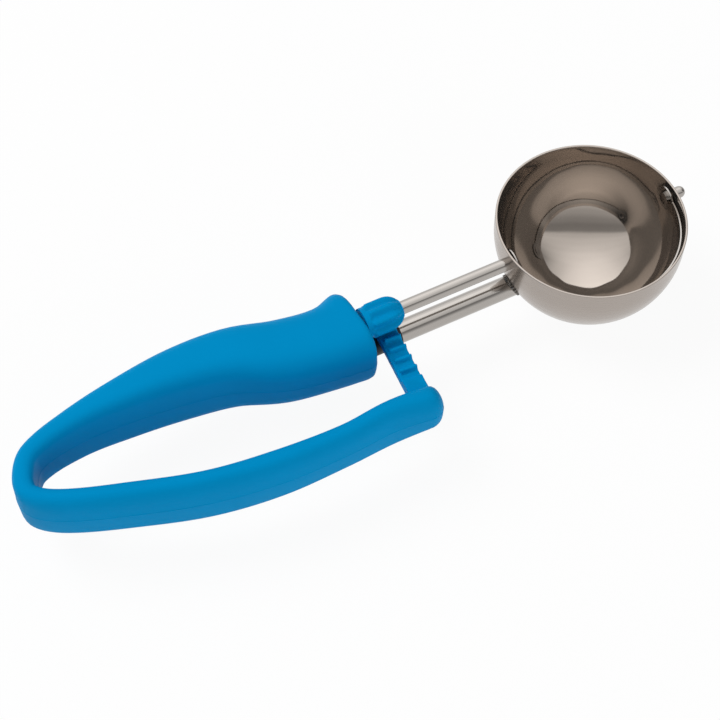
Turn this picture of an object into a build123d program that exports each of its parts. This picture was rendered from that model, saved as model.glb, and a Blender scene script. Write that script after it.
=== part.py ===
from build123d import *
import math
import os

# Lever ice cream scoop (squeeze disher), millimetres.
# Frame: the origin is the centre of the bowl's mouth, in the plane of the rim.
# +Z points out of the mouth, +X runs along the spindle from the handle to the
# far side of the bowl, and +Y points from the squeeze lever to the grip.

# ---------------------------------------------------------------- bowl
bowl_radius = 28.6            # outside radius of the pressed hemisphere
bowl_wall = 0.7               # sheet thickness
rim_round = 0.2               # broken edge of the rim
spindle_depth = 5.1           # collar height: spindle axis below the rim

# ---------------------------------------------------------------- spindle
rod_diameter = 4.0
rod_clearance = 0.05          # radial running clearance of every turning fit
rod_flat = 1.4                # distance of the drive flat from the rod's axis
rod_end_gap = 0.5             # between the rod's rear end and the bottom of its bush
tenon_diameter = 2.8          # shouldered end that carries the blade
peen_diameter = 4.2           # spread head of the tenon and of the far pin
peen_height = 0.7

# ---------------------------------------------------------------- scraper blade
blade_width = 8.4
blade_thickness = 0.8
blade_clearance = 0.25        # gap between the blade and the bowl
blade_sweep = 170.0           # degrees the blade turns in a full squeeze

# ---------------------------------------------------------------- far pivot
pivot_pin_diameter = 3.7
pivot_pin_reach = 4.9         # how far the domed end stands off the bowl
pivot_shank_diameter = 2.8

# ---------------------------------------------------------------- stem
stem_diameter = 6.8
stem_wall = 0.8
stem_drop = 12.5              # stem axis below the spindle axis
stem_seat = 29.0              # length of stem held inside the grip
moulded_fit = 0.02            # radial gap of a piece moulded or pressed in place
weld_width = 0.8
weld_height = 0.7
sleeve_wall = 0.5
sleeve_reach = 12.4           # length of the guide sleeve ahead of the grip
anchor_pin_diameter = 2.5
anchor_pin_length = 13.0
anchor_pin_inset = 8.0        # from the rear end of the stem

# ---------------------------------------------------------------- pinion and rack
pinion_teeth = 8
tooth_module = 1.2025
pinion_tip_radius = 5.4
pinion_root_radius = 4.05
ridge_radius = 0.85           # rounded top of a pinion tooth
pinion_length = 12.2
pinion_collar_length = 1.0
pinion_collar_radius = 4.7
pinion_dome = 3.2             # rounding of the free end
pinion_gap = 0.8              # between the grip and the pinion
rack_width = 6.2
rack_setback = 7.1            # middle of the rack ahead of the grip's front face
rack_addendum = 0.5
rack_dedendum = 0.85
rack_flank_rise = 0.38        # how much a tooth widens each side below the pitch line
rack_flank_fall = 0.28        # how much it narrows each side above the pitch line
rack_tooth_half = 0.63        # half thickness of a tooth on the pitch line
rack_under_gap = 0.25         # between the rack and the guide sleeve
rack_phase = -1.9             # first ridge, measured from the mid-travel mesh point
rack_grooves = 6
rack_grooves_behind = 3       # of them, on the knob's side of the mid-travel mesh point
rack_ledge = 0.8              # the ridges stop this far from the side next to the grip
rack_tip_reach = 5.5          # free end of the rack past the spindle axis
rack_root = 1.4               # the bar is drawn to this side of the knob's middle, less the knob itself
tongue_reach = 1.2            # the tongue ends this far beyond the knob's middle
tongue_start = 6.0            # and begins this far up the bar from it
tongue_width = 3.6
tongue_height = 2.8

# ---------------------------------------------------------------- handle loop
grip_setback = 77.0           # bowl centre to the front face of the grip
handle_sink = 0.25            # mid-plane of the loop below the middle of the two shafts
grip_front_round = 1.6
knob_front_round = 3.0
bush_wall = 1.2               # wall of the spindle bush in the grip
bush_length = 12.0
bend_gap = 0.08               # slit left in the flexing bend when fully squeezed
bend_cut = 30.0               # larger than the section of the bend
bend_reach = 6.6              # the square end of the lever runs on this far ahead of the bend
gap_middle = -19.0            # between the grip and the lever at their front ends
loop_reach = 40.0             # more than the loop reaches to any side of that
socket_gap = 0.1              # between the rack's tongue and the knob
# The loop is one long bar, bent round from the grip's front face to the knob.
# Each station gives its distance behind that face, its offset towards +Y, its
# thickness, its height and the radius of its corners.
loop_stations = [
    (0.0, 1.6, 26.3, 23.2, 8.0),
    (10.0, 0.8, 22.2, 22.8, 8.0),
    (24.0, 2.8, 20.7, 23.7, 7.6),
    (38.0, 7.4, 17.8, 24.5, 6.6),
    (54.0, 9.0, 14.7, 24.3, 5.4),
    (70.0, 8.7, 11.0, 23.0, 4.4),
    (86.0, 7.2, 7.6, 20.8, 3.5),
    (100.1, 3.2, 6.4, 18.6, 3.1),
    (105.0, -3.5, 6.4, 18.5, 3.1),
    (105.0, -9.2, 6.2, 18.7, 3.0),
    (97.8, -14.5, 6.5, 19.0, 3.2),
    (80.0, -21.2, 6.7, 19.5, 3.2),
    (60.0, -27.3, 6.5, 20.1, 3.1),
    (40.0, -30.1, 7.0, 19.2, 3.1),
    (20.0, -30.5, 6.5, 17.9, 3.1),
    (4.0, -30.1, 7.6, 19.0, 3.5),
    (-8.8, -31.3, 8.2, 15.0, 4.0),
]
bend_setback = 105.4          # flexing bend behind the grip's front face
bend_offset = -6.4            # and to its side

# ---------------------------------------------------------------- derived places
spindle_z = -spindle_depth
stem_z = spindle_z - stem_drop
handle_z = spindle_z - stem_drop / 2 - handle_sink
grip_front_x = -grip_setback
rack_x = grip_front_x + rack_setback
rod_radius = rod_diameter / 2
stem_radius = stem_diameter / 2
bowl_inner = bowl_radius - bowl_wall
blade_outer = bowl_inner - blade_clearance
blade_inner = blade_outer - blade_thickness
spindle_axis = Axis((0, 0, spindle_z), (1, 0, 0))
stem_rear_x = grip_front_x - stem_seat
anchor_x = stem_rear_x + anchor_pin_inset
sleeve_radius = stem_radius + moulded_fit + sleeve_wall
bush_radius = rod_radius + rod_clearance + bush_wall

pitch_radius = pinion_teeth * tooth_module / 2
tooth_pitch = math.pi * tooth_module
hinge_x = grip_front_x - bend_setback
hinge_y = bend_offset
gear_ratio = (rack_x - hinge_x) / pitch_radius
squeeze_angle = blade_sweep / gear_ratio
mesh_tilt = squeeze_angle / 2


def turned(x, y, degrees):
    """A point of the lever after it has turned about the bend."""
    angle = math.radians(degrees)
    dx, dy = x - hinge_x, y - hinge_y
    return (
        hinge_x + dx * math.cos(angle) - dy * math.sin(angle),
        hinge_y + dx * math.sin(angle) + dy * math.cos(angle),
    )


# ---------------------------------------------------------------- bowl
with BuildPart() as bowl:
    with BuildSketch(Plane.XZ):
        with BuildLine():
            outer_arc = CenterArc((0, spindle_z), bowl_radius, -90, 90)
            inner_arc = CenterArc((0, spindle_z), bowl_inner, -90, 90)
            Line(outer_arc @ 0, inner_arc @ 0)
            Polyline(outer_arc @ 1, (bowl_radius, 0), (bowl_inner, 0), inner_arc @ 1)
        make_face()
    revolve(axis=Axis.Z)
    fillet(bowl.edges().group_by(Axis.Z)[-1], radius=rim_round)
    # near hole for the spindle, far hole for the pivot pin
    with BuildSketch(Plane.YZ):
        with Locations((0, spindle_z)):
            Circle(rod_radius + rod_clearance)
    extrude(amount=-2 * bowl_radius, mode=Mode.SUBTRACT)
    with BuildSketch(Plane.YZ):
        with Locations((0, spindle_z)):
            Circle(pivot_shank_diameter / 2 + rod_clearance)
    extrude(amount=2 * bowl_radius, mode=Mode.SUBTRACT)
bowl.part.label = "bowl"

# ---------------------------------------------------------------- stem and weld
with BuildPart() as stem_tube:
    with BuildSketch(Plane.YZ.offset(stem_rear_x)):
        with Locations((0, stem_z)):
            Circle(stem_radius)
            Circle(stem_radius - stem_wall, mode=Mode.SUBTRACT)
    extrude(amount=-stem_rear_x - stem_drop)
    with Locations((0, 0, spindle_z)):
        Sphere(bowl_radius + moulded_fit, mode=Mode.SUBTRACT)
    with BuildSketch(Plane.XZ):
        with Locations((anchor_x, stem_z)):
            Circle(anchor_pin_diameter / 2 + moulded_fit)
    extrude(amount=stem_diameter, both=True, mode=Mode.SUBTRACT)
stem_tube.part.label = "stem_tube"

with BuildPart() as stem_weld:
    with BuildSketch(Plane.YZ.offset(-bowl_radius - weld_height)):
        with Locations((0, stem_z)):
            Circle(stem_radius + moulded_fit + weld_width)
            Circle(stem_radius + moulded_fit, mode=Mode.SUBTRACT)
    extrude(amount=bowl_radius - stem_drop)
    with Locations((0, 0, spindle_z)):
        Sphere(bowl_radius + weld_height, mode=Mode.INTERSECT)
        Sphere(bowl_radius + moulded_fit, mode=Mode.SUBTRACT)
stem_weld.part.label = "stem_weld"

with BuildPart() as stem_sleeve:
    with BuildSketch(Plane.YZ.offset(grip_front_x)):
        with Locations((0, stem_z)):
            Circle(sleeve_radius)
            Circle(stem_radius + moulded_fit, mode=Mode.SUBTRACT)
    extrude(amount=sleeve_reach)
stem_sleeve.part.label = "stem_sleeve"

with BuildPart() as anchor_pin:
    with BuildSketch(Plane.XZ.offset(-anchor_pin_length / 2)):
        with Locations((anchor_x, stem_z)):
            Circle(anchor_pin_diameter / 2)
    extrude(amount=anchor_pin_length)
anchor_pin.part.label = "anchor_pin"

# ---------------------------------------------------------------- spindle bush
with BuildPart() as spindle_bush:
    with BuildSketch(Plane.YZ.offset(grip_front_x - bush_length)):
        with Locations((0, spindle_z)):
            Circle(bush_radius)
            Circle(rod_radius + rod_clearance, mode=Mode.SUBTRACT)
    extrude(amount=bush_length)
spindle_bush.part.label = "spindle_bush"

# ---------------------------------------------------------------- handle loop
with BuildLine():
    loop_path = Spline(
        *[(grip_front_x - back, side, handle_z) for back, side, *_ in loop_stations],
        tangents=[(-1, 0, 0), (1, 0, 0)],
    )

with BuildPart() as handle_loop:
    for back, side, thickness, height, corner in loop_stations:
        station = Vector(grip_front_x - back, side, handle_z)
        run = loop_path.tangent_at(loop_path.param_at_point(station))
        with BuildSketch(Plane(origin=station, x_dir=(run.Y, -run.X, 0), z_dir=run)):
            RectangleRounded(thickness, height, corner)
    loft()
    front_face = handle_loop.faces().filter_by(GeomType.PLANE).sort_by(Axis.Y)[-1]
    fillet(front_face.edges(), radius=grip_front_round)
    knob_face = handle_loop.faces().filter_by(GeomType.PLANE).sort_by(Axis.Y)[0]
    fillet(knob_face.edges(), radius=knob_front_round)

# the lever's side of the loop: it ends square across the bend
with BuildSketch(Plane.XY.offset(handle_z)) as lever_side:
    with BuildLine():
        Polyline(
            (hinge_x - bend_cut, hinge_y),
            (hinge_x + bend_reach, hinge_y),
            (grip_front_x, gap_middle),
            (0, gap_middle),
            (0, gap_middle - loop_reach),
            (hinge_x - bend_cut, gap_middle - loop_reach),
            close=True,
        )
    make_face()

# ---------------------------------------------------------------- grip
with BuildPart() as handle_grip:
    add(handle_loop.part)
    add(lever_side.sketch)
    extrude(amount=loop_reach, both=True, mode=Mode.SUBTRACT)
    # socket of the stem, seat of the spindle bush, hole of the anchor pin
    with BuildSketch(Plane.YZ.offset(stem_rear_x)):
        with Locations((0, stem_z)):
            Circle(stem_radius + moulded_fit)
    extrude(amount=stem_seat, mode=Mode.SUBTRACT)
    with BuildSketch(Plane.YZ.offset(grip_front_x - bush_length)):
        with Locations((0, spindle_z)):
            Circle(bush_radius + moulded_fit)
    extrude(amount=bush_length, mode=Mode.SUBTRACT)
    with BuildSketch(Plane.XZ.offset(-anchor_pin_length / 2)):
        with Locations((anchor_x, stem_z)):
            Circle(anchor_pin_diameter / 2 + moulded_fit)
    extrude(amount=anchor_pin_length, mode=Mode.SUBTRACT)
    # the flexing bend closes against the lever when it is fully squeezed
    bend_shoulder = Plane(
        origin=(hinge_x, hinge_y + bend_gap, handle_z),
        x_dir=(math.cos(math.radians(squeeze_angle)), math.sin(math.radians(squeeze_angle)), 0),
        z_dir=(math.sin(math.radians(squeeze_angle)), -math.cos(math.radians(squeeze_angle)), 0),
    )
    with BuildSketch(bend_shoulder):
        Rectangle(bend_cut, bend_cut)
    extrude(amount=bend_cut, mode=Mode.SUBTRACT)
handle_grip.part.label = "handle_grip"

# ---------------------------------------------------------------- rack arm
pitch_z = spindle_z - pitch_radius
rack_top_z = pitch_z + rack_addendum
rack_bottom_z = stem_z + sleeve_radius + rack_under_gap
rack_mid_z = (rack_top_z + rack_bottom_z) / 2
knob_middle_y = loop_stations[-1][1]
# the bar and its ridges lean by half the squeeze, so that they lie square in mid travel
mesh_x, mesh_y = turned(rack_x, 0, -mesh_tilt)
lean = math.radians(mesh_tilt)
along_rack = (math.sin(lean), math.cos(lean), 0)
across_rack = (math.cos(lean), -math.sin(lean), 0)
rack_plane = Plane(origin=(mesh_x, mesh_y, rack_bottom_z), x_dir=across_rack, z_dir=(0, 0, 1))
floor_plane = Plane(origin=(mesh_x, mesh_y, pitch_z - rack_dedendum), x_dir=across_rack, z_dir=(0, 0, 1))
groove_plane = Plane(origin=(mesh_x, mesh_y, pitch_z), x_dir=along_rack, z_dir=across_rack)
rack_tip = rack_tip_reach - mesh_y
rack_end = knob_middle_y + rack_root - mesh_y
tongue_end = knob_middle_y - tongue_reach - mesh_y
tongue_top = knob_middle_y + tongue_start - mesh_y
groove_top_half = tooth_pitch / 2 - rack_tooth_half + rack_flank_fall
groove_floor_half = tooth_pitch / 2 - rack_tooth_half - rack_flank_rise
last_groove = rack_phase - (rack_grooves_behind - 0.5) * tooth_pitch
tongue_plane = Plane(
    origin=(mesh_x, mesh_y, rack_mid_z - tongue_height / 2), x_dir=across_rack, z_dir=(0, 0, 1)
)

with BuildPart() as rack_arm:
    with BuildSketch(rack_plane):
        with Locations((0, (rack_tip + rack_end) / 2)):
            Rectangle(rack_width, rack_tip - rack_end)
    extrude(amount=rack_top_z - rack_bottom_z)
    for groove in range(rack_grooves):
        centre = rack_phase + (groove - rack_grooves_behind + 0.5) * tooth_pitch
        with BuildSketch(groove_plane):
            with BuildLine():
                Polyline(
                    (centre - groove_top_half, rack_addendum),
                    (centre - groove_floor_half, -rack_dedendum),
                    (centre + groove_floor_half, -rack_dedendum),
                    (centre + groove_top_half, rack_addendum),
                    (centre + groove_top_half, rack_addendum + 1),
                    (centre - groove_top_half, rack_addendum + 1),
                    close=True,
                )
            make_face()
        extrude(amount=rack_width, both=True, mode=Mode.SUBTRACT)
    with BuildSketch(floor_plane):
        with Locations((-rack_width / 2, last_groove)):
            Rectangle(2 * rack_ledge, rack_tip + 1 - last_groove, align=(Align.CENTER, Align.MIN))
    extrude(amount=rack_addendum + rack_dedendum + 1, mode=Mode.SUBTRACT)
    # the bar ends on the knob's surface, and a narrower tongue runs on into its socket
    add(handle_loop.part, mode=Mode.SUBTRACT)
    with BuildSketch(tongue_plane):
        with Locations((0, (tongue_end + tongue_top) / 2)):
            Rectangle(tongue_width, tongue_top - tongue_end)
    extrude(amount=tongue_height)
rack_arm.part.label = "rack_arm"

# ---------------------------------------------------------------- squeeze lever
with BuildPart() as squeeze_lever:
    add(handle_loop.part)
    add(lever_side.sketch)
    extrude(amount=loop_reach, both=True, mode=Mode.INTERSECT)
    with BuildSketch(tongue_plane.offset(-socket_gap)):
        with Locations((0, (tongue_end - socket_gap + tongue_top) / 2)):
            Rectangle(tongue_width + 2 * socket_gap, tongue_top - tongue_end + socket_gap)
    extrude(amount=tongue_height + 2 * socket_gap, mode=Mode.SUBTRACT)
squeeze_lever.part.label = "squeeze_lever"

# ---------------------------------------------------------------- pinion
pinion_rear_x = grip_front_x + pinion_gap
tooth_angle = 360 / pinion_teeth
mesh_angle = math.degrees(rack_phase / pitch_radius) - blade_sweep / 2 - 90
ridge_centre = pinion_tip_radius - ridge_radius

with BuildPart() as pinion:
    with BuildSketch(Plane.YZ.offset(pinion_rear_x)):
        with Locations((0, spindle_z)):
            Circle(pinion_root_radius)
            with PolarLocations(ridge_centre, pinion_teeth, start_angle=mesh_angle + tooth_angle / 2):
                Circle(ridge_radius)
    extrude(amount=pinion_length)
    with BuildSketch(Plane.YZ.offset(pinion_rear_x)):
        with Locations((0, spindle_z)):
            Circle(pinion_collar_radius)
    extrude(amount=pinion_collar_length)
    # the free end is domed
    with BuildSketch(Plane.XZ):
        with BuildLine():
            Polyline(
                (pinion_rear_x + pinion_length, spindle_z),
                (pinion_rear_x, spindle_z),
                (pinion_rear_x, spindle_z + pinion_tip_radius + 1),
                (pinion_rear_x + pinion_length - pinion_dome, spindle_z + pinion_tip_radius + 1),
                (pinion_rear_x + pinion_length - pinion_dome, spindle_z + pinion_tip_radius),
            )
            RadiusArc(
                (pinion_rear_x + pinion_length - pinion_dome, spindle_z + pinion_tip_radius),
                (pinion_rear_x + pinion_length, spindle_z + pinion_tip_radius - pinion_dome),
                pinion_dome,
            )
            Line(
                (pinion_rear_x + pinion_length, spindle_z + pinion_tip_radius - pinion_dome),
                (pinion_rear_x + pinion_length, spindle_z),
            )
        make_face()
    revolve(axis=spindle_axis, mode=Mode.INTERSECT)
    # bore with a drive flat
    with BuildSketch(Plane.YZ.offset(pinion_rear_x)):
        with Locations((0, spindle_z)):
            Circle(rod_radius + moulded_fit)
            with Locations((0, rod_flat + moulded_fit + rod_radius)):
                Rectangle(2 * rod_diameter, 2 * rod_radius, mode=Mode.SUBTRACT)
    extrude(amount=pinion_length, mode=Mode.SUBTRACT)
pinion.part.label = "pinion"

# ---------------------------------------------------------------- spindle rod
rod_rear_x = grip_front_x - bush_length + rod_end_gap
shoulder_x = -blade_outer
peen_radius = peen_diameter / 2
peen_seat = math.sqrt(blade_inner**2 - peen_radius**2)

with BuildPart() as spindle_rod:
    with BuildSketch(Plane.YZ.offset(rod_rear_x)):
        with Locations((0, spindle_z)):
            Circle(rod_radius)
    extrude(amount=shoulder_x - rod_rear_x)
    with BuildSketch(Plane.YZ.offset(shoulder_x)):
        with Locations((0, spindle_z)):
            Circle(tenon_diameter / 2)
    extrude(amount=blade_thickness + peen_height)
    with BuildSketch(Plane.YZ.offset(-peen_seat)):
        with Locations((0, spindle_z)):
            Circle(peen_radius)
    extrude(amount=peen_height)
    peen_face = spindle_rod.faces().sort_by(Axis.X)[-1]
    fillet(peen_face.edges(), radius=peen_height / 2)
    # drive flat under the pinion
    with BuildSketch(Plane.YZ.offset(pinion_rear_x)):
        with Locations((0, spindle_z + rod_flat + rod_radius)):
            Rectangle(2 * rod_diameter, 2 * rod_radius)
    extrude(amount=pinion_length, mode=Mode.SUBTRACT)
spindle_rod.part.label = "spindle_rod"

# ---------------------------------------------------------------- scraper blade
with BuildPart() as scraper_blade:
    with Locations((0, 0, spindle_z)):
        Sphere(blade_outer)
        Sphere(blade_inner, mode=Mode.SUBTRACT)
    with BuildSketch(Plane.YZ):
        with Locations((0, spindle_z)):
            Circle(blade_width / 2)
        with Locations((-bowl_radius / 2, spindle_z)):
            Rectangle(bowl_radius, blade_width)
    extrude(amount=bowl_radius, both=True, mode=Mode.INTERSECT)
    with BuildSketch(Plane.YZ):
        with Locations((0, spindle_z)):
            Circle(tenon_diameter / 2 + moulded_fit)
    extrude(amount=-bowl_radius, mode=Mode.SUBTRACT)
    with BuildSketch(Plane.YZ):
        with Locations((0, spindle_z)):
            Circle(pivot_shank_diameter / 2 + moulded_fit)
    extrude(amount=bowl_radius, mode=Mode.SUBTRACT)
scraper_blade.part.label = "scraper_blade"

# ---------------------------------------------------------------- far pivot pin
pivot_radius = pivot_pin_diameter / 2
with BuildPart() as pivot_pin:
    with BuildSketch(Plane.YZ.offset(bowl_radius)):
        with Locations((0, spindle_z)):
            Circle(pivot_radius)
    extrude(amount=pivot_pin_reach)
    dome_face = pivot_pin.faces().sort_by(Axis.X)[-1]
    fillet(dome_face.edges(), radius=pivot_radius * 0.98)
    with BuildSketch(Plane.YZ.offset(blade_inner - peen_height)):
        with Locations((0, spindle_z)):
            Circle(pivot_shank_diameter / 2)
    extrude(amount=bowl_radius - blade_inner + peen_height)
    with BuildSketch(Plane.YZ.offset(peen_seat - peen_height)):
        with Locations((0, spindle_z)):
            Circle(peen_radius)
    extrude(amount=peen_height)
pivot_pin.part.label = "pivot_pin"

# ---------------------------------------------------------------- files
pieces = [
    bowl, stem_tube, stem_weld, stem_sleeve, anchor_pin, spindle_bush, handle_grip,
    squeeze_lever, rack_arm, pinion, spindle_rod, scraper_blade, pivot_pin,
]
os.makedirs("parts", exist_ok=True)
for piece in pieces:
    export_step(piece.part, f"parts/{piece.part.label}.step")

print(f"gear ratio {gear_ratio:.4f}, squeeze angle {squeeze_angle:.4f} degrees")
print(f"hinge at {hinge_x:.3f}, {hinge_y:.3f}; handle mid-plane {handle_z:.3f}")
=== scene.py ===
import math

import bmesh
import bpy
from mathutils import Matrix, Vector


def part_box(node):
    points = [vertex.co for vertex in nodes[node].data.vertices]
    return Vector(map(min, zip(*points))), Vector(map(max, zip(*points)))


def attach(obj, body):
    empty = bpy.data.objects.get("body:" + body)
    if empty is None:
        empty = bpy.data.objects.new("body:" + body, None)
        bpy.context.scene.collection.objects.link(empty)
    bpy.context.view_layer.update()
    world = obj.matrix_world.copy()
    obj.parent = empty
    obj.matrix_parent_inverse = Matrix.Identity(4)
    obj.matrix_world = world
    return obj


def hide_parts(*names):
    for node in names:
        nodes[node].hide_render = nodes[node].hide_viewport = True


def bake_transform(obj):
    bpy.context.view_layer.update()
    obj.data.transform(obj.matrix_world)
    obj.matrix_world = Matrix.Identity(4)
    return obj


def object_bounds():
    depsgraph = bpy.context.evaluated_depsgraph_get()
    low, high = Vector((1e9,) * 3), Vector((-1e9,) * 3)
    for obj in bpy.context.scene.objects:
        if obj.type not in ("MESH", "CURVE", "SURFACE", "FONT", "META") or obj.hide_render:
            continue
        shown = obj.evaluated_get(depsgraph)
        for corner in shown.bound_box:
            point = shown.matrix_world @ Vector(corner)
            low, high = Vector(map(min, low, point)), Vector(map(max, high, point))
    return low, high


bl_info = {
    "name": "Squeeze Handle Ice Cream Scoop",
    "version": (1, 0, 0),
    "blender": (4, 5, 0),
    "location": "3D View > Sidebar > Scoop",
    "description": "Dresses a lever ice cream scoop: moulded handle loop, rack and pinion, steel bowl",
    "category": "Object",
}

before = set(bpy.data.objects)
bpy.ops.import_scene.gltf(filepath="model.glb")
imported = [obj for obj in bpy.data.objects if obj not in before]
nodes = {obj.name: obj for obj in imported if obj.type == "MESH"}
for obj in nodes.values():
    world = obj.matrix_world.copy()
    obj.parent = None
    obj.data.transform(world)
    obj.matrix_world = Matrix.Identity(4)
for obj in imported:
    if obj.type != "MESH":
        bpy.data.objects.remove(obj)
CAD_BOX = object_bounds()
MM = 0.001


def linear(code):
    """Turns an sRGB hex colour into the linear RGBA that shader sockets take."""
    parts = [int(code[i:i + 2], 16) / 255 for i in (1, 3, 5)]
    return tuple(p / 12.92 if p <= 0.04045 else ((p + 0.055) / 1.055) ** 2.4 for p in parts) + (1.0,)


# ------------------------------------------------------------------ places, millimetres
SPINDLE_Z = -5.1              # spindle axis, and the centre of the bowl's sphere
STEM_Z = -17.6                # axis of the stem
BOWL_RADIUS = 28.59           # outer face of the bowl, from the sphere's centre
SHEET = 0.7                   # wall of the bowl
COLLAR_STEPS = (1.0, 1.9, 1.9, -SPINDLE_Z - 4.8)   # rings of its collar, up to the rim at height 0
RIM_BREAK = 0.2               # width of the broken edges of its rim
SPHERE_SEGMENTS = 192
SPHERE_RINGS = 96
BLADE_INSIDE = 26.85          # inner face of the scraper strip, from the sphere's centre
BLADE_SHEET = 0.42            # its thickness where it is ground thin
BLADE_HALF_WIDTH = 2.05       # the strip; its two pivot tabs are rounded and wider
TAB_RADIUS = 4.15
BLADE_REACH = 28              # its outline is drawn this far to each side of the bowl's centre
PINION_REAR_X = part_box("pinion")[0].x / MM
PINION_LENGTH = 12.2
PINION_COLLAR = 4.72          # radius of its plain rear collar
PINION_RISE = 0.1             # the ridges' middle stands this much higher
RIDGE_HEIGHT = 0.56           # and they go up and down by this much
RIDGES = 8
RIDGE_ANGLE = -3.9            # direction of one ridge, in degrees from straight up
RIDGE_START = 1.2             # length of the collar, and of the slope from it to the ridges
DOME_LENGTH = 5.0             # the free end's dome
DOME_RADIUS = 5.7
BORE_RADIUS = 2.03
GRIP_FRONT_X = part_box("handle_grip")[1].x / MM
HANDLE_Z = -11.6              # mid-plane of the moulding: its parting line runs here
PARTING_LINE = (0.06, -0.04)  # heights of the two mould halves' edges above it
FRONT_FLANK_ROUND = 3.3       # the grip's front face: rounding at its two upright edges
FRONT_BROW_ROUND = 1.5        # at its upper edge
FRONT_SILL_ROUND = 4.2        # and at its lower edge
KNOB_ROUND = (4.6, 2.8, 8.5, 3.6)   # the knob's free end: outer flank, inner flank, top and bottom
SHOULDER = 0.72               # share of the lever's upper half that its rounded outer shoulder takes
END_RINGS = (0.0, 0.1, 0.3, 0.65, 1.1, 1.7, 2.4, 3.3, 4.2)   # depths of the rings in the rounded ends
END_LENGTH = 6.0              # the even rings start this far from an end
BEND_STATIONS = (7, 10)       # the rear bend lies between these two stations below
BEND_DENSITY = 3              # rings stand this many times closer there
ROOT_BACK = 6                 # the rack's fillet: the part of the knob from this far behind the rack
ROOT_SIDE = -18               # and from this side outwards
ROOT_SHRINK = 0.12            # stays this much inside the knob's own surface
WELD_DRAWN_IN = 0.88          # the weld bead's size across the stem, against the CAD's
# Along the handle loop: distance behind the grip's front face, offset to the side,
# thickness, height and corner radius of the section there.
LOOP_STATIONS = (
    (0.0, 1.6, 26.3, 23.2, 8.0),
    (10.0, 0.8, 22.2, 22.8, 8.0),
    (24.0, 2.8, 20.7, 23.7, 7.6),
    (38.0, 7.4, 17.8, 24.5, 6.6),
    (54.0, 9.0, 14.7, 24.3, 5.4),
    (70.0, 8.7, 11.0, 23.0, 4.4),
    (86.0, 7.2, 7.6, 20.8, 3.5),
    (100.1, 3.2, 6.4, 18.6, 3.1),
    (104.8, -3.5, 6.4, 18.5, 3.1),
    (104.8, -9.2, 6.2, 18.7, 3.0),
    (97.8, -14.5, 6.5, 19.0, 3.2),
    (80.0, -21.2, 6.7, 19.5, 3.2),
    (60.0, -27.3, 6.5, 20.1, 3.1),
    (40.0, -30.1, 7.0, 19.2, 3.1),
    (20.0, -30.5, 6.5, 17.9, 3.1),
    (5.0, -29.5, 6.8, 18.6, 3.3),
    (-11.0, -30.25, 8.7, 15.2, 4.2),
)

# ------------------------------------------------------------------ studio
CAMERA_PLACE = (-0.2031, -0.2427, 0.4019)
CAMERA_AXES = ((0.8917, -0.4526, 0.0061), (0.3778, 0.7517, 0.5406), (-0.2492, -0.4798, 0.8413))
# name, place and size in metres, power in watts
SOFTBOXES = (
    ("softbox_left", (-0.7, 0.7, 1.25), 0.9, 17.5),
    ("softbox_front", (0.3, -1.35, 0.45), 0.8, 7.5),
)
SOFTBOX_AIM = (-0.05, 0, 0)
FLOOR_GLOW = 0.93             # share of the floor's white that doesn't depend on the lamps
ROOM_FILL = 0.36              # brightness of the room for all that isn't a mirror
FAR_WALL = (0.461, 0.887, 0)  # level direction of the studio's far wall
# What metal sees of the studio: angle from straight up in degrees, positive towards the far wall,
# and brightness.
ROOM_LEVELS = (
    (-180, 1.0), (-92, 1.0), (-78, 0.95), (-68, 0.8), (-60, 0.6), (-50, 0.42), (-43, 0.33),
    (-36, 0.36), (-29, 0.9), (-22, 1.1), (-12, 1.25), (-2, 1.45), (8, 1.6), (18, 1.68), (30, 1.75),
    (42, 1.85), (54, 1.5), (62, 1.35), (72, 1.25), (82, 0.9), (96, 0.95), (180, 1.0),
)
LEVEL_SCALE = 2.4             # the ramp holds the levels divided by this


# ------------------------------------------------------------------ values a user would change
class ScoopSizes(bpy.types.PropertyGroup):
    ring_spacing: bpy.props.FloatProperty(
        name="Ring spacing", description="Length of the handle loop between two rings of its mesh",
        default=2.6 * MM, min=1 * MM, subtype="DISTANCE", unit="LENGTH")
    draft: bpy.props.FloatProperty(
        name="Draft", description="How far the mould's parting line stands out from the section's corners",
        default=0.22 * MM, min=0.0, subtype="DISTANCE", unit="LENGTH")
    mismatch: bpy.props.FloatProperty(
        name="Mismatch", description="Step between the two mould halves at the parting line",
        default=0.07 * MM, min=0.0, subtype="DISTANCE", unit="LENGTH")
    voxel: bpy.props.FloatProperty(
        name="Voxel", description="Mesh size at which the rack's edges are rounded",
        default=0.25 * MM, min=0.1 * MM, subtype="DISTANCE", unit="LENGTH")
    floor_size: bpy.props.FloatProperty(
        name="Floor size", description="Side of the studio floor", default=6.0, min=1.0,
        subtype="DISTANCE", unit="LENGTH")


class ScoopColours(bpy.types.PropertyGroup):
    blue: bpy.props.FloatVectorProperty(
        name="Handle blue", description="Colour of the moulded polypropylene", subtype="COLOR", size=4,
        min=0, max=1, default=linear("#008AC3"))
    black: bpy.props.FloatVectorProperty(
        name="Sleeve black", description="Colour of the nylon guide sleeve", subtype="COLOR", size=4,
        min=0, max=1, default=linear("#16181B"))
    steel: bpy.props.FloatVectorProperty(
        name="Stainless steel", description="Reflection colour of the stainless pieces", subtype="COLOR",
        size=4, min=0, max=1, default=linear("#ABA6A1"))
    floor: bpy.props.FloatVectorProperty(
        name="Floor", description="Colour of the studio floor", subtype="COLOR", size=4, min=0, max=1,
        default=linear("#F2F2F2"))


# ------------------------------------------------------------------ materials
def add_node(tree, kind, sockets=None, **settings):
    """Adds a shader node, sets its properties, and sets or links its input sockets."""
    made = tree.nodes.new(kind)
    for name, value in settings.items():
        setattr(made, name, value)
    for name, value in (sockets or {}).items():
        if isinstance(value, bpy.types.NodeSocket):
            tree.links.new(value, made.inputs[name])
        else:
            made.inputs[name].default_value = value
    return made


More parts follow.
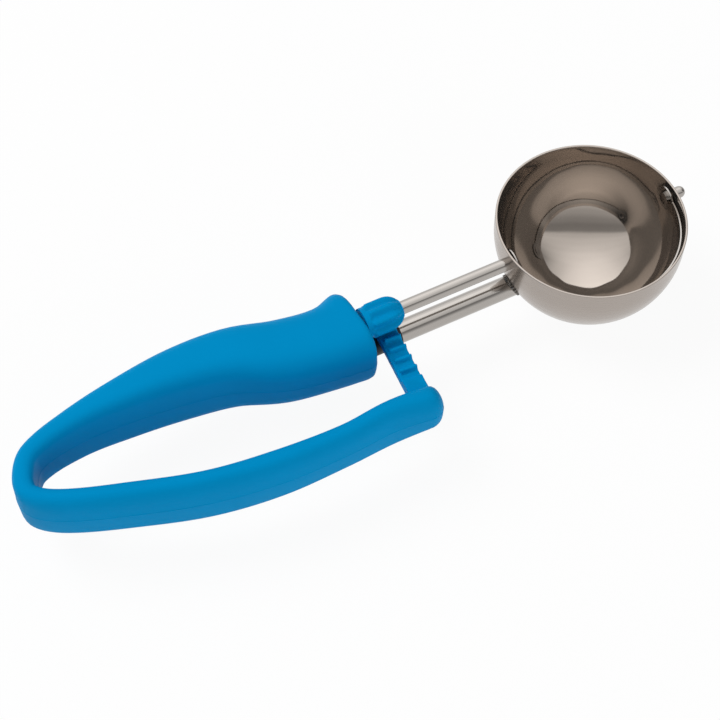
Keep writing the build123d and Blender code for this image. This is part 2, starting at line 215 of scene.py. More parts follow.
def new_material(name):
    """A material with an empty tree, its object coordinates and its output node."""
    material = bpy.data.materials.new(name)
    material.use_nodes = True
    tree = material.node_tree
    tree.nodes.clear()
    place = add_node(tree, "ShaderNodeTexCoord").outputs["Object"]
    output = add_node(tree, "ShaderNodeOutputMaterial")
    return material, tree, place, output


def scaled(colour, *factors):
    """A colour made lighter or darker, by one factor or by one for each of red, green and blue."""
    return [min(1, c * f) for c, f in zip(colour[:3], factors * 3 if len(factors) == 1 else factors)] + [1]


def moulded_polypropylene():
    """Injection-moulded polypropylene: waxy satin skin, deep in colour, with a faint spark-eroded grain."""
    material, tree, place, output = new_material("moulded_blue_polypropylene")
    colour = bpy.context.scene.scoop_colours.blue
    # flow shading of the pigment, patches about 25 mm across
    flow = add_node(tree, "ShaderNodeTexNoise", {"Vector": place, "Scale": 1 / (25 * MM), "Detail": 2.0})
    shade = add_node(tree, "ShaderNodeMix", {
        0: flow.outputs["Fac"], 6: scaled(colour, 0.95), 7: scaled(colour, 1.05),
    }, data_type="RGBA")
    # eroded grain is about 0.1 mm on the real mould, drawn at 0.5 mm so that it shows
    grain = add_node(tree, "ShaderNodeTexNoise", {"Vector": place, "Scale": 1 / (0.5 * MM), "Detail": 2.0})
    bump = add_node(tree, "ShaderNodeBump", {
        "Height": grain.outputs["Fac"], "Strength": 0.08, "Distance": 0.05 * MM,
    })
    # handled places are a little glossier than sheltered ones
    rough = add_node(tree, "ShaderNodeMapRange", {
        "Value": flow.outputs["Fac"], "From Min": 0.3, "From Max": 0.7, "To Min": 0.38, "To Max": 0.48,
    })
    skin = add_node(tree, "ShaderNodeBsdfPrincipled", {
        "Base Color": shade.outputs[2], "Roughness": rough.outputs["Result"], "IOR": 1.49,
        "Specular IOR Level": 0.02, "Normal": bump.outputs["Normal"],
    })
    tree.links.new(skin.outputs["BSDF"], output.inputs["Surface"])
    return material


def black_nylon():
    """Turned black nylon: dull, with fine machining rings."""
    material, tree, place, output = new_material("black_nylon")
    stretch = add_node(tree, "ShaderNodeMapping", {"Vector": place, "Scale": (1 / (0.4 * MM), 20, 20)})
    rings = add_node(tree, "ShaderNodeTexNoise", {"Vector": stretch.outputs["Vector"], "Scale": 1.0})
    bump = add_node(tree, "ShaderNodeBump", {
        "Height": rings.outputs["Fac"], "Strength": 0.2, "Distance": 0.05 * MM,
    })
    skin = add_node(tree, "ShaderNodeBsdfPrincipled", {
        "Base Color": bpy.context.scene.scoop_colours.black, "Roughness": 0.45, "IOR": 1.53,
        "Specular IOR Level": 0.3, "Normal": bump.outputs["Normal"],
    })
    tree.links.new(skin.outputs["BSDF"], output.inputs["Surface"])
    return material


def stainless(name, roughness, marks, mark_depth, tint=1.0):
    """Stainless steel: metallic, slightly warm, with fine directional finishing marks."""
    material, tree, place, output = new_material(name)
    colour = bpy.context.scene.scoop_colours.steel
    stretch = add_node(tree, "ShaderNodeMapping", {"Vector": place, "Scale": marks})
    lines = add_node(tree, "ShaderNodeTexNoise", {
        "Vector": stretch.outputs["Vector"], "Scale": 1.0, "Detail": 3.0, "Roughness": 0.6,
    })
    smear = add_node(tree, "ShaderNodeTexNoise", {"Vector": place, "Scale": 1 / (12 * MM), "Detail": 3.0})
    rough = add_node(tree, "ShaderNodeMapRange", {
        "Value": lines.outputs["Fac"], "From Min": 0.3, "From Max": 0.7,
        "To Min": roughness * 0.8, "To Max": roughness * 1.25,
    })
    shade = add_node(tree, "ShaderNodeMix", {
        0: smear.outputs["Fac"], 6: scaled(colour, 0.95 * tint), 7: scaled(colour, 1.05 * tint),
    }, data_type="RGBA")
    bump = add_node(tree, "ShaderNodeBump", {
        "Height": lines.outputs["Fac"], "Strength": mark_depth, "Distance": 0.02 * MM,
    })
    skin = add_node(tree, "ShaderNodeBsdfPrincipled", {
        "Base Color": shade.outputs[2], "Metallic": 1.0, "Roughness": rough.outputs["Result"],
        "Normal": bump.outputs["Normal"],
    })
    tree.links.new(skin.outputs["BSDF"], output.inputs["Surface"])
    return material


def polished_sheet():
    """Pressed stainless sheet: mirror-polished inside with the press's waves, satin-polished outside."""
    material, tree, place, output = new_material("polished_stainless_sheet")
    colour = bpy.context.scene.scoop_colours.steel
    reach = add_node(tree, "ShaderNodeVectorMath", {0: place, 1: (0, 0, SPINDLE_Z * MM)},
                     operation="DISTANCE")
    # the finish changes in the middle of the sheet, so at the rim
    outside = add_node(tree, "ShaderNodeMapRange", {
        "Value": reach.outputs["Value"],
        "From Min": (BOWL_RADIUS - 0.44) * MM, "From Max": (BOWL_RADIUS - 0.24) * MM,
    })
    # buffing lines run round the bowl; real ones are about 0.02 mm wide, drawn at 0.35 mm
    stretch = add_node(tree, "ShaderNodeMapping", {"Vector": place, "Scale": (70, 70, 1 / (0.35 * MM))})
    lines = add_node(tree, "ShaderNodeTexNoise", {
        "Vector": stretch.outputs["Vector"], "Scale": 1.0, "Detail": 3.0, "Roughness": 0.6,
    })
    # roughness varies with the lines, whose mean is one half
    base = add_node(tree, "ShaderNodeMapRange", {
        "Value": outside.outputs["Result"], "To Min": 0.05 * 2, "To Max": 0.24 * 2,
    })
    rough = add_node(tree, "ShaderNodeMath", {0: base.outputs["Result"], 1: lines.outputs["Fac"]},
                     operation="MULTIPLY")
    # wiped-on film and fine scratches scatter a little light inside
    film = add_node(tree, "ShaderNodeMapRange", {
        "Value": outside.outputs["Result"], "To Min": 0.93, "To Max": 1.0,
    })
    # drawing the sheet over the punch leaves shallow rings about 6 mm apart, bent by 13 mm dents
    rings = add_node(tree, "ShaderNodeTexWave", {
        "Vector": place, "Scale": 2 / (6 * MM * 6.28), "Distortion": 2.0, "Detail": 1.0,
        "Detail Scale": 0.6,
    }, wave_type="RINGS", rings_direction="Z")
    dents = add_node(tree, "ShaderNodeTexNoise", {"Vector": place, "Scale": 1 / (13 * MM), "Detail": 1.0})
    waves = add_node(tree, "ShaderNodeMath", {0: rings.outputs["Fac"], 1: 0.12, 2: dents.outputs["Fac"]},
                     operation="MULTIPLY_ADD")
    wavy = add_node(tree, "ShaderNodeBump", {
        "Height": waves.outputs[0], "Strength": 1.0, "Distance": 0.11 * MM,
    })
    # the buffing lines catch the light on the outside only
    marks = add_node(tree, "ShaderNodeMath", {0: outside.outputs["Result"], 1: 0.02},
                     operation="MULTIPLY")
    bump = add_node(tree, "ShaderNodeBump", {
        "Height": lines.outputs["Fac"], "Strength": marks.outputs[0], "Distance": 0.02 * MM,
        "Normal": wavy.outputs["Normal"],
    })
    # the one steel is painted lighter inside and darker and warmer outside: painted light and painted shade
    shade = add_node(tree, "ShaderNodeMix", {
        0: outside.outputs["Result"],
        6: scaled(colour, 1.08, 1.02, 0.97), 7: scaled(colour, 0.95, 0.9, 0.87),
    }, data_type="RGBA")
    skin = add_node(tree, "ShaderNodeBsdfPrincipled", {
        "Base Color": shade.outputs[2], "Metallic": film.outputs["Result"], "Roughness": rough.outputs[0],
        "Normal": bump.outputs["Normal"],
    })
    tree.links.new(skin.outputs["BSDF"], output.inputs["Surface"])
    return material


def blue_plastic():
    """The one blue material that all blue mouldings share."""
    return bpy.data.materials.get("moulded_blue_polypropylene") or moulded_polypropylene()


def give(thing, material):
    """Puts one material on a piece or a CAD node."""
    thing.data.materials.clear()
    thing.data.materials.append(material)


# ------------------------------------------------------------------ modelling helpers
def activate(piece):
    """Makes a piece the only selected and the active object."""
    bpy.ops.object.select_all(action="DESELECT")
    piece.select_set(True)
    bpy.context.view_layer.objects.active = piece


def start_piece(name, add):
    """Deselects all, adds a primitive and returns it with the piece's name and its place in its mesh."""
    if bpy.context.object and bpy.context.object.mode != "OBJECT":
        bpy.ops.object.mode_set(mode="OBJECT")
    bpy.ops.object.select_all(action="DESELECT")
    add()
    piece = bpy.context.object
    piece.name = name
    piece.data.name = name
    bpy.ops.object.transform_apply(location=True, rotation=True, scale=True)
    return piece


def finish_piece(piece, body, material, smooth_angle=40):
    """Smooths a piece, gives it its material and slot and lets it ride on its body."""
    bpy.ops.object.mode_set(mode="OBJECT")
    activate(piece)
    bpy.ops.object.transform_apply(location=True, rotation=True, scale=True)
    bpy.ops.object.shade_smooth_by_angle(angle=math.radians(smooth_angle))
    give(piece, material)
    if body:
        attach(piece, body)


def pick_verts(piece, test):
    """Selects, in Edit Mode, just the vertices that pass a test."""
    bpy.ops.mesh.select_all(action="DESELECT")
    mesh = bmesh.from_edit_mesh(piece.data)
    for v in mesh.verts:
        v.select_set(test(v))
    bmesh.update_edit_mesh(piece.data)


def pick_edges(piece, test):
    """Selects, in Edit Mode, just the edges that pass a test, which is given the vertex layers as well."""
    bpy.ops.mesh.select_all(action="DESELECT")
    mesh = bmesh.from_edit_mesh(piece.data)
    layers = mesh.verts.layers.int.values()
    for e in mesh.edges:
        if test(e, *layers):
            e.select_set(True)
    bmesh.update_edit_mesh(piece.data)


def face_outward():
    """Turns all faces of the closed mesh in Edit Mode outward."""
    bpy.ops.mesh.select_all(action="SELECT")
    bpy.ops.mesh.normals_make_consistent(inside=False)


def edit(piece, mode="EDGE"):
    """Makes a piece the active one and opens it in Edit Mode."""
    activate(piece)
    bpy.ops.object.mode_set(mode="EDIT")
    bpy.ops.mesh.select_mode(type=mode)


def smooth_along(values, places, at):
    """Cubic value at a place between stations, with the slopes of the neighbouring stations."""
    i = max(0, min(len(places) - 2, next((k for k, p in enumerate(places) if p > at), len(places)) - 1))
    slopes = []
    for k in (i, i + 1):
        a, b = max(0, k - 1), min(len(places) - 1, k + 1)
        slopes.append((values[b] - values[a]) / (places[b] - places[a]))
    h = places[i + 1] - places[i]
    t = (at - places[i]) / h
    return ((2 * t**3 - 3 * t**2 + 1) * values[i] + (t**3 - 2 * t**2 + t) * h * slopes[0]
            + (3 * t**2 - 2 * t**3) * values[i + 1] + (t**3 - t**2) * h * slopes[1])


def rounding(depth, radius):
    """How far a rounded edge's surface lies in from the side, at a depth behind the end face."""
    return radius - math.sqrt(radius**2 - max(0.0, radius - depth)**2)


def loop_sections(spacing):
    """Place, heading, thickness, height and corner radius of every ring of the handle loop, in metres."""
    rows = [(GRIP_FRONT_X - row[0],) + row[1:] for row in LOOP_STATIONS]
    places = [0.0]
    for a, b in zip(rows, rows[1:]):
        places.append(places[-1] + math.dist(a[:2], b[:2]))
    columns = list(zip(*rows))
    length = places[-1]
    bend = (places[BEND_STATIONS[0]] - 4, places[BEND_STATIONS[1]] + 4)
    rings = list(END_RINGS) + [END_LENGTH]
    while rings[-1] < length - END_LENGTH:
        in_bend = bend[0] < rings[-1] < bend[1]
        rings.append(rings[-1] + spacing / MM / (BEND_DENSITY if in_bend else 1))
    rings[-1] = length - END_LENGTH
    rings += [length - d for d in reversed(END_RINGS)]
    for at in rings:
        x, y, thick, high, corner = (smooth_along(c, places, at) for c in columns)
        near, far = max(0, at - 0.5), min(length, at + 0.5)
        heading = math.atan2(*(
            smooth_along(columns[k], places, far) - smooth_along(columns[k], places, near) for k in (1, 0)))
        outer, inner = (
            max(rounding(at, FRONT_FLANK_ROUND), rounding(length - at, r)) for r in KNOB_ROUND[:2])
        # the knob's top and bottom run in over the same depth as its outer flank
        knob_end = rounding(length - at, KNOB_ROUND[0]) / KNOB_ROUND[0]
        brow = max(rounding(at, FRONT_BROW_ROUND), knob_end * KNOB_ROUND[2])
        sill = max(rounding(at, FRONT_SILL_ROUND), knob_end * KNOB_ROUND[3])
        inward = Vector((-math.sin(heading), math.cos(heading), 0))
        middle = Vector((x, y, HANDLE_Z + (sill - brow) / 2)) + inward * (outer - inner) / 2
        thick -= outer + inner
        high -= brow + sill
        corner = min(corner - rounding(at, FRONT_BROW_ROUND), 0.49 * thick, 0.45 * high)
        yield middle * MM, heading, thick * MM, high * MM, corner * MM


def shape_ring(loop, number, section, sizes):
    """Turns the unit square that was just added to the handle loop into a ring of its mesh."""
    place, heading, thick, high, corner = section
    inward = Vector((-math.sin(heading), math.cos(heading), 0))
    mesh = bmesh.from_edit_mesh(loop.data)
    for v in mesh.verts:
        if v.select:
            off = v.co - place
            across = off.dot(inward) * (thick - 2 * sizes.draft)
            v.co = place + inward * across + Vector((0, 0, off.z)) * high
    bmesh.update_edit_mesh(loop.data)
    bpy.ops.mesh.bevel(offset=corner - sizes.draft, segments=5, affect="VERTICES")
    mesh = bmesh.from_edit_mesh(loop.data)
    for v in mesh.verts:
        if v.select:
            v[mesh.verts.layers.int["ring"]] = number
    bmesh.update_edit_mesh(loop.data)
    bpy.ops.mesh.delete(type="ONLY_FACE")
    # two points on each side, where the two mould halves meet
    pick_edges(loop, lambda e, ring_of, seam_of: e.verts[0][ring_of] == number
               and abs(e.verts[1].co.z - e.verts[0].co.z) > 2 * sizes.draft
               and (e.verts[1].co - e.verts[0].co).xy.length < 0.001 * MM)
    bpy.ops.mesh.subdivide(number_cuts=2)
    mesh = bmesh.from_edit_mesh(loop.data)
    ring_of, seam_of = (mesh.verts.layers.int[name] for name in ("ring", "seam"))
    straight = max(abs(v.co.z - place.z) for v in mesh.verts if v.select)
    for v in mesh.verts:
        if v.select and abs(v.co.z - place.z) < straight / 2:
            upper = v.co.z > place.z
            side = (v.co - place).dot(inward)
            v.co += inward * math.copysign(sizes.draft - (sizes.mismatch if upper else 0), side)
            v.co.z = (HANDLE_Z + (PARTING_LINE[0] if upper else PARTING_LINE[1])) * MM
            v[ring_of] = number
            v[seam_of] = 1 if upper else 2
    # the lever's outer shoulder is longer downwards than across
    forward = max(0.0, math.cos(heading))
    stretch = 1 + forward * max(0.0, SHOULDER * high / 2 / corner - 1)
    for v in mesh.verts:
        below = place.z + high / 2 - v.co.z
        if v[ring_of] == number and (v.co - place).dot(inward) < 0 and below < corner * 1.01:
            v.co.z -= below * (stretch - 1)
    bmesh.update_edit_mesh(loop.data)
    bpy.ops.mesh.select_all(action="DESELECT")


class SCOOP_OT_handle(bpy.types.Operator):
    """Models the one-piece handle loop: grip, flexing bend, squeeze lever and knob"""
    bl_idname = "scoop.handle"
    bl_label = "Handle Loop"

    def execute(self, context):
        sizes = context.scene.scoop_sizes
        loop = None
        for number, section in enumerate(loop_sections(sizes.ring_spacing), 1):
            def add_square():
                bpy.ops.mesh.primitive_plane_add(
                    size=1, location=section[0], rotation=(math.pi / 2, 0, section[1] + math.pi / 2))
            if loop is None:
                loop = start_piece("handle_loop", add_square)
                edit(loop, "VERT")
                for layer in ("ring", "seam"):
                    bmesh.from_edit_mesh(loop.data).verts.layers.int.new(layer)
            else:
                add_square()
            shape_ring(loop, number, section, sizes)
        bpy.ops.mesh.select_mode(type="EDGE")
        for first in range(1, number):
            pick_edges(loop, lambda e, ring_of, seam_of:
                       {e.verts[0][ring_of], e.verts[1][ring_of]} in ({first}, {first + 1}))
            bpy.ops.mesh.bridge_edge_loops()
        for end in (1, number):
            pick_edges(loop, lambda e, ring_of, seam_of:
                       e.verts[0][ring_of] == end and e.verts[1][ring_of] == end)
            bpy.ops.mesh.edge_face_add()
        # the parting line stays crisp
        pick_edges(loop, lambda e, ring_of, seam_of:
                   e.verts[0][seam_of] > 0 and e.verts[0][seam_of] == e.verts[1][seam_of])
        bpy.ops.mesh.mark_sharp()
        face_outward()
        finish_piece(loop, None, blue_plastic(), smooth_angle=50)
        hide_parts("handle_grip", "squeeze_lever")
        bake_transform(loop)
        return {"FINISHED"}


def soften(piece, voxel, passes):
    """Rounds a piece's edges and hollows the way a moulding's are, by remeshing and relaxing it."""
    activate(piece)
    cells = piece.modifiers.new("cells", "REMESH")
    cells.mode = "VOXEL"
    cells.voxel_size = voxel
    relax = piece.modifiers.new("relax", "SMOOTH")
    relax.factor = 0.5
    relax.iterations = passes
    for name in ("cells", "relax"):
        bpy.ops.object.modifier_apply(modifier=name)


def own_copy(source, name):
    """A copy of a piece or CAD node with its own merged mesh, left in Edit Mode."""
    piece = bpy.data.objects.new(name, source.data.copy())
    bpy.context.collection.objects.link(piece)
    edit(piece)
    bpy.ops.mesh.select_all(action="SELECT")
    bpy.ops.mesh.remove_doubles(threshold=0.002 * MM)
    return piece


class SCOOP_OT_pinion(bpy.types.Operator):
    """Models the pinion with its broad moulded ridges and domed free end"""
    bl_idname = "scoop.pinion"
    bl_label = "Pinion"

    def execute(self, context):
        middle = Vector((PINION_REAR_X + PINION_LENGTH / 2, 0, SPINDLE_Z)) * MM
        tip = PINION_COLLAR + PINION_RISE + RIDGE_HEIGHT
        pinion = start_piece("moulded_pinion", lambda: bpy.ops.mesh.primitive_cylinder_add(
            vertices=96, radius=tip * MM, depth=PINION_LENGTH * MM, end_fill_type="NOTHING",
            location=middle, rotation=(0, math.pi / 2, 0)))
        edit(pinion)
        pick_edges(pinion, lambda e: abs(e.verts[0].co.x - e.verts[1].co.x) > MM)
        bpy.ops.mesh.subdivide(number_cuts=35)
        mesh = bmesh.from_edit_mesh(pinion.data)
        rear = PINION_REAR_X * MM
        for v in mesh.verts:
            along = (v.co.x - rear) / MM
            angle = math.degrees(math.atan2(v.co.y, v.co.z - middle.z))
            # plain collar at the rear, then ridges that rise softly and run into the dome
            rise = max(0.0, min(1.0, (along - RIDGE_START) / RIDGE_START))
            rise = rise * rise * (3 - 2 * rise)
            ridge = math.cos(math.radians(RIDGES * (angle - RIDGE_ANGLE)))
            radius = PINION_COLLAR + rise * (PINION_RISE + RIDGE_HEIGHT * ridge)
            past = max(0.0, along - (PINION_LENGTH - DOME_LENGTH)) / DOME_RADIUS
            radius = max(BORE_RADIUS + 0.72, radius * math.sqrt(1 - past**2))
            v.co.y = math.sin(math.radians(angle)) * radius * MM
            v.co.z = middle.z + math.cos(math.radians(angle)) * radius * MM
        bmesh.update_edit_mesh(pinion.data)
        # each end turns in to the bore, the free end over a small rounding
        for end, inward in ((rear, 0.0), (rear + PINION_LENGTH * MM, 0.1 * MM)):
            pick_edges(pinion, lambda e: e.is_boundary
                       and all(abs(v.co.x - end) < 0.01 * MM for v in e.verts))
            bpy.ops.mesh.extrude_edges_move()
            bpy.ops.transform.translate(value=(inward, 0, 0))
            bpy.ops.transform.resize(value=(1, 0.9, 0.9), center_override=(end, 0, middle.z))
            bpy.ops.mesh.extrude_edges_move()
            mesh = bmesh.from_edit_mesh(pinion.data)
            for v in mesh.verts:
                if v.select:
                    off = Vector((0, v.co.y, v.co.z - middle.z))
                    off.length = BORE_RADIUS * MM
                    v.co.y, v.co.z = off.y, middle.z + off.z
            bmesh.update_edit_mesh(pinion.data)
        # the bore joins the two ends
        pick_edges(pinion, lambda e: e.is_boundary)
        bpy.ops.mesh.bridge_edge_loops()
        face_outward()
        finish_piece(pinion, "spindle", blue_plastic(), smooth_angle=50)
        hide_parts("pinion")
        return {"FINISHED"}


class SCOOP_OT_rack(bpy.types.Operator):
    """Models the rack arm with rounded ridges, flowing into the knob with a fillet"""
    bl_idname = "scoop.rack"
    bl_label = "Rack Arm"

    def execute(self, context):
        root_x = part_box("rack_arm")[0].x - ROOT_BACK * MM
        # the knob's end, a hair smaller than the handle loop's, makes the fillet where the arm stands on it
        knob = own_copy(bpy.data.objects["handle_loop"], "rack_root")
        for cut in (
            {"plane_co": (root_x, 0, 0), "plane_no": (1, 0, 0), "clear_inner": True},
            {"plane_co": (0, ROOT_SIDE * MM, 0), "plane_no": (0, 1, 0), "clear_outer": True},
        ):
            bpy.ops.mesh.select_all(action="SELECT")
            bpy.ops.mesh.bisect(use_fill=True, **cut)
        face_outward()
        bpy.ops.transform.shrink_fatten(value=-ROOT_SHRINK * MM)
        bpy.ops.object.mode_set(mode="OBJECT")
        rack = own_copy(nodes["rack_arm"], "moulded_rack")
        bpy.ops.object.mode_set(mode="OBJECT")
        activate(rack)
        knob.select_set(True)
        bpy.ops.object.join()
        soften(rack, context.scene.scoop_sizes.voxel, 8)
        finish_piece(rack, "lever", blue_plastic(), smooth_angle=60)
        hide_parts("rack_arm")
        return {"FINISHED"}


class SCOOP_OT_bowl(bpy.types.Operator):
    """Models the pressed bowl: a hemisphere with a short straight collar and a bare rim"""
    bl_idname = "scoop.bowl"
    bl_label = "Bowl"

    def execute(self, context):
        centre = Vector((0, 0, SPINDLE_Z)) * MM
        bowl = start_piece("pressed_bowl", lambda: bpy.ops.mesh.primitive_uv_sphere_add(
            segments=SPHERE_SEGMENTS, ring_count=SPHERE_RINGS, radius=BOWL_RADIUS * MM, location=centre))
        edit(bowl)
        pick_verts(bowl, lambda v: v.co.z > centre.z + 0.01 * MM)
        bpy.ops.mesh.delete(type="VERT")
        pick_edges(bowl, lambda e: e.is_boundary)
        for rise in COLLAR_STEPS:
            bpy.ops.mesh.extrude_edges_move()
            bpy.ops.transform.translate(value=(0, 0, rise * MM))
        face_outward()
        bpy.ops.object.mode_set(mode="OBJECT")
        wall = bowl.modifiers.new("wall", "SOLIDIFY")
        wall.thickness = SHEET * MM
        wall.offset = -1
        wall.use_even_offset = True
        bpy.ops.object.modifier_apply(modifier="wall")
        # broken edges of the rim
        edit(bowl)
        pick_edges(bowl, lambda e: all(abs(v.co.z) < 0.001 * MM for v in e.verts)
                   and abs(e.verts[0].co.xy.length - e.verts[1].co.xy.length) < 0.1 * MM)
        bpy.ops.mesh.bevel(offset=RIM_BREAK * MM, segments=3, affect="EDGES")
        finish_piece(bowl, "handle", polished_sheet(), smooth_angle=40)
        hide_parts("bowl")
        return {"FINISHED"}


class SCOOP_OT_blade(bpy.types.Operator):
    """Models the scraper blade: a thin narrow strip with a rounded tab at each pivot"""
    bl_idname = "scoop.blade"
    bl_label = "Scraper Blade"

    def execute(self, context):
        centre = Vector((0, 0, SPINDLE_Z)) * MM
        # outline seen along the spindle: tab circle and strip, drawn right through the bowl
        outline = start_piece("blade_outline", lambda: bpy.ops.mesh.primitive_circle_add(
            vertices=96, radius=TAB_RADIUS * MM, location=(-BLADE_REACH * MM, 0, centre.z),
            rotation=(0, math.pi / 2, 0)))
        edit(outline)
        half_width = BLADE_HALF_WIDTH * MM
        pick_verts(outline, lambda v: v.co.y < 0 and abs(v.co.z - centre.z) < half_width)
        bpy.ops.mesh.delete(type="VERT")
        pick_verts(outline, lambda v: len(v.link_edges) == 1)
        mesh = bmesh.from_edit_mesh(outline.data)
        for v in mesh.verts:
            if v.select:
                v.co.z = centre.z + math.copysign(half_width, v.co.z - centre.z)
        bmesh.update_edit_mesh(outline.data)
        bpy.ops.mesh.extrude_vertices_move()
        bpy.ops.transform.translate(value=(0, -BLADE_REACH * MM, 0))
        bpy.ops.mesh.edge_face_add()
        bpy.ops.mesh.select_all(action="SELECT")
        bpy.ops.mesh.edge_face_add()
        bpy.ops.mesh.extrude_region_move()
        bpy.ops.transform.translate(value=(2 * BLADE_REACH * MM, 0, 0))
        face_outward()
        bpy.ops.object.mode_set(mode="OBJECT")
        blade, hollow = (
            start_piece(name, lambda: bpy.ops.mesh.primitive_uv_sphere_add(
                segments=SPHERE_SEGMENTS, ring_count=SPHERE_RINGS, radius=radius * MM, location=centre))
            for name, radius in (
                ("scraper_strip", BLADE_INSIDE + BLADE_SHEET), ("blade_hollow", BLADE_INSIDE)))
        activate(blade)
        for name, operation, other in (("outline", "INTERSECT", outline), ("hollow", "DIFFERENCE", hollow)):
            cut = blade.modifiers.new(name, "BOOLEAN")
            cut.operation = operation
            cut.object = other
            cut.solver = "EXACT"
            bpy.ops.object.modifier_apply(modifier=name)
        for spent in (outline, hollow):
            bpy.data.objects.remove(spent)
        if len(blade.data.polygons) < 100:
            raise RuntimeError("the scraper strip was not cut out")
        # the cut leaves slivers along the outline
        edit(blade)
        bpy.ops.mesh.select_all(action="SELECT")
        bpy.ops.mesh.remove_doubles(threshold=0.02 * MM)
        bpy.ops.mesh.dissolve_degenerate(threshold=0.005 * MM)
        face_outward()
        finish_piece(blade, "spindle", stainless(
            "brushed_spring_steel", 0.16, (60, 60, 1 / (0.4 * MM)), 0.1), smooth_angle=35)
        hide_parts("scraper_blade")
        return {"FINISHED"}


class SCOOP_OT_steel(bpy.types.Operator):
    """Finishes the steel stem, spindle, far pin and weld"""
    bl_idname = "scoop.steel"
    bl_label = "Steel Pieces"

    def execute(self, context):
        # centreless-ground round stock: its marks run round the rod; real ones are 0.03 mm wide,
        # drawn at 0.35 mm
        ground = stainless("ground_stainless_rod", 0.12, (1 / (0.35 * MM), 180, 180), 0.10)
        for name in ("stem_tube", "spindle_rod", "pivot_pin", "anchor_pin"):
            give(nodes[name], ground)
        # bead of the joint between stem and bowl, drawn in a little; its steel is darkened as painted shade
        # of the gap there
        weld = own_copy(nodes["stem_weld"], "weld_bead")
        bpy.ops.mesh.select_all(action="SELECT")
        bpy.ops.transform.resize(
            value=(1, WELD_DRAWN_IN, WELD_DRAWN_IN), center_override=(0, 0, STEM_Z * MM))
        finish_piece(weld, "handle", stainless(
            "weld_painted_gap_shade", 0.4, (900, 900, 900), 0.6, tint=0.55), smooth_angle=50)
        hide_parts("stem_weld")
        return {"FINISHED"}


class SCOOP_OT_nylon(bpy.types.Operator):
    """Finishes the guide sleeve and the spindle bush"""
    bl_idname = "scoop.nylon"
    bl_label = "Nylon Pieces"

    def execute(self, context):
        nylon = black_nylon()
        for name in ("stem_sleeve", "spindle_bush"):
            give(nodes[name], nylon)
        return {"FINISHED"}


def studio_room():
    """White to the camera, soft to the light on the object, and a lit room with dim corners to metal."""
    world = bpy.data.worlds.new("studio_room")
    world.use_nodes = True
    tree = world.node_tree
    tree.nodes.clear()
    # angle of a reflected ray from straight up, positive towards the far wall
    way = add_node(tree, "ShaderNodeTexCoord").outputs["Generated"]
    up = add_node(tree, "ShaderNodeSeparateXYZ", {"Vector": way})
    out = add_node(tree, "ShaderNodeVectorMath", {0: way, 1: FAR_WALL}, operation="DOT_PRODUCT")
    angle = add_node(tree, "ShaderNodeMath", {0: out.outputs["Value"], 1: up.outputs["Z"]},
                     operation="ARCTAN2")
    turn = add_node(tree, "ShaderNodeMapRange", {
        "Value": angle.outputs[0], "From Min": -math.pi, "From Max": math.pi})
    room = add_node(tree, "ShaderNodeValToRGB", {"Fac": turn.outputs["Result"]})
    room.color_ramp.interpolation = "EASE"
    stops = room.color_ramp.elements
    while len(stops) > 1:
        stops.remove(stops[-1])
    for number, (degrees, level) in enumerate(ROOM_LEVELS):
        stop = stops[0] if number == 0 else stops.new(0.5 + degrees / 360)
        stop.position = 0.5 + degrees / 360
        stop.color = (level / LEVEL_SCALE,) * 3 + (1,)
    # the ceiling's light is narrow: brightness falls off to both sides of the direction to the far wall
    aside = add_node(tree, "ShaderNodeVectorMath", {0: way, 1: (FAR_WALL[1], -FAR_WALL[0], 0)},
                     operation="DOT_PRODUCT")
    off = add_node(tree, "ShaderNodeMath", {0: aside.outputs["Value"], 1: 0.12}, operation="ADD")
    square = add_node(tree, "ShaderNodeMath", {0: off.outputs[0], 1: off.outputs[0]}, operation="MULTIPLY")
    overhead = add_node(tree, "ShaderNodeMapRange", {
        "Value": angle.outputs[0], "From Min": math.radians(-30), "From Max": math.radians(10),
        "To Max": 0.95})
    fall = add_node(tree, "ShaderNodeMath", {0: square.outputs[0], 1: overhead.outputs["Result"]},
                    operation="MULTIPLY")
    keep = add_node(tree, "ShaderNodeMath", {0: 1.0, 1: fall.outputs[0]}, operation="SUBTRACT",
                    use_clamp=True)
    strength = add_node(tree, "ShaderNodeMath", {0: keep.outputs[0], 1: LEVEL_SCALE}, operation="MULTIPLY")
    ray = add_node(tree, "ShaderNodeLightPath")
    mirrored = add_node(tree, "ShaderNodeMath", {
        0: ray.outputs["Is Glossy Ray"], 1: ray.outputs["Is Transmission Ray"]},
        operation="ADD", use_clamp=True)
    level = add_node(tree, "ShaderNodeMapRange", {
        "Value": ray.outputs["Is Camera Ray"], "To Min": ROOM_FILL, "To Max": 1.0})
    plain = add_node(tree, "ShaderNodeBackground", {
        "Color": (1, 1, 1, 1), "Strength": level.outputs["Result"]})
    lit = add_node(tree, "ShaderNodeBackground", {
        "Color": room.outputs["Color"], "Strength": strength.outputs[0]})
    both = add_node(tree, "ShaderNodeMixShader", {
        0: mirrored.outputs[0], 1: plain.outputs["Background"], 2: lit.outputs["Background"]})
    tree.links.new(both.outputs["Shader"], add_node(tree, "ShaderNodeOutputWorld").inputs["Surface"])
    return world


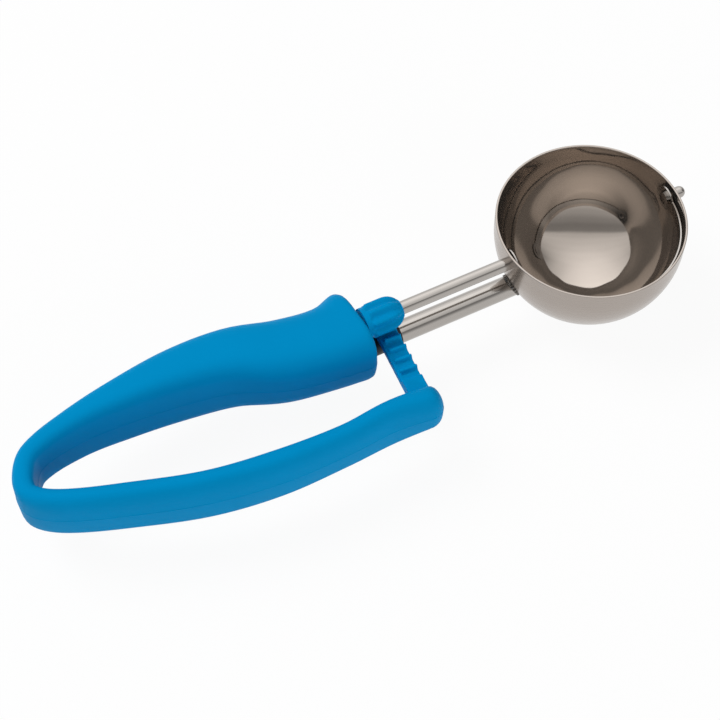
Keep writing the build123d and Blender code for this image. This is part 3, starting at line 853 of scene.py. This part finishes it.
class SCOOP_OT_stage(bpy.types.Operator):
    """Sets up the pale floor, the soft lamps and the camera"""
    bl_idname = "scoop.stage"
    bl_label = "Studio"

    def execute(self, context):
        scene = context.scene
        scene.view_settings.view_transform = "Standard"
        low = CAD_BOX[0]
        floor = start_piece("studio_floor", lambda: bpy.ops.mesh.primitive_plane_add(
            size=scene.scoop_sizes.floor_size, location=(0, 0, low.z - 0.2 * MM)))
        material, tree, place, output = new_material("paper_floor")
        paper = add_node(tree, "ShaderNodeBsdfDiffuse", {"Color": scene.scoop_colours.floor})
        glow = add_node(tree, "ShaderNodeEmission", {"Color": (1, 1, 1, 1), "Strength": 1.0})
        ray = add_node(tree, "ShaderNodeLightPath")
        seen = add_node(tree, "ShaderNodeMath", {
            0: ray.outputs["Is Camera Ray"], 1: ray.outputs["Is Glossy Ray"]},
            operation="ADD", use_clamp=True)
        share = add_node(tree, "ShaderNodeMath", {0: seen.outputs[0], 1: FLOOR_GLOW}, operation="MULTIPLY")
        mix = add_node(tree, "ShaderNodeMixShader", {
            0: share.outputs[0], 1: paper.outputs["BSDF"], 2: glow.outputs["Emission"],
        })
        tree.links.new(mix.outputs["Shader"], output.inputs["Surface"])
        give(floor, material)
        scene.world = studio_room()
        for name, place, size, power in SOFTBOXES:
            bpy.ops.object.light_add(type="AREA", location=place)
            lamp = context.object
            lamp.name = name
            lamp.data.size = size
            lamp.data.energy = power
            lamp.visible_glossy = False
            aim = Vector(SOFTBOX_AIM) - Vector(place)
            lamp.rotation_euler = aim.to_track_quat("-Z", "Y").to_euler()
        bpy.ops.object.camera_add(location=CAMERA_PLACE)
        camera = context.object
        camera.name = "camera"
        camera.rotation_euler = Matrix(CAMERA_AXES).transposed().to_euler()
        camera.data.lens = 85
        camera.data.sensor_width = 36
        camera.data.clip_start = 0.01
        scene.camera = camera
        return {"FINISHED"}


class SCOOP_PT_panel(bpy.types.Panel):
    bl_label = "Ice Cream Scoop"
    bl_space_type = "VIEW_3D"
    bl_region_type = "UI"
    bl_category = "Scoop"

    def draw(self, context):
        for group in (context.scene.scoop_sizes, context.scene.scoop_colours):
            for name in group.bl_rna.properties.keys():
                if name not in ("rna_type", "name"):
                    self.layout.prop(group, name)
        for operator in PIECES:
            self.layout.operator(operator.bl_idname)


PIECES = (SCOOP_OT_handle, SCOOP_OT_pinion, SCOOP_OT_rack, SCOOP_OT_nylon, SCOOP_OT_bowl,
          SCOOP_OT_blade, SCOOP_OT_steel, SCOOP_OT_stage)
CLASSES = (ScoopSizes, ScoopColours) + PIECES + (SCOOP_PT_panel,)


def register():
    for cls in CLASSES:
        bpy.utils.register_class(cls)
    bpy.types.Scene.scoop_sizes = bpy.props.PointerProperty(type=ScoopSizes)
    bpy.types.Scene.scoop_colours = bpy.props.PointerProperty(type=ScoopColours)


def unregister():
    del bpy.types.Scene.scoop_colours
    del bpy.types.Scene.scoop_sizes
    for cls in reversed(CLASSES):
        bpy.utils.unregister_class(cls)


def main():
    register()
    bpy.ops.scoop.handle()
    bpy.ops.scoop.pinion()
    bpy.ops.scoop.rack()
    bpy.ops.scoop.nylon()
    bpy.ops.scoop.bowl()
    bpy.ops.scoop.blade()
    bpy.ops.scoop.steel()
    bpy.ops.scoop.stage()


if __name__ == "__main__":
    main()
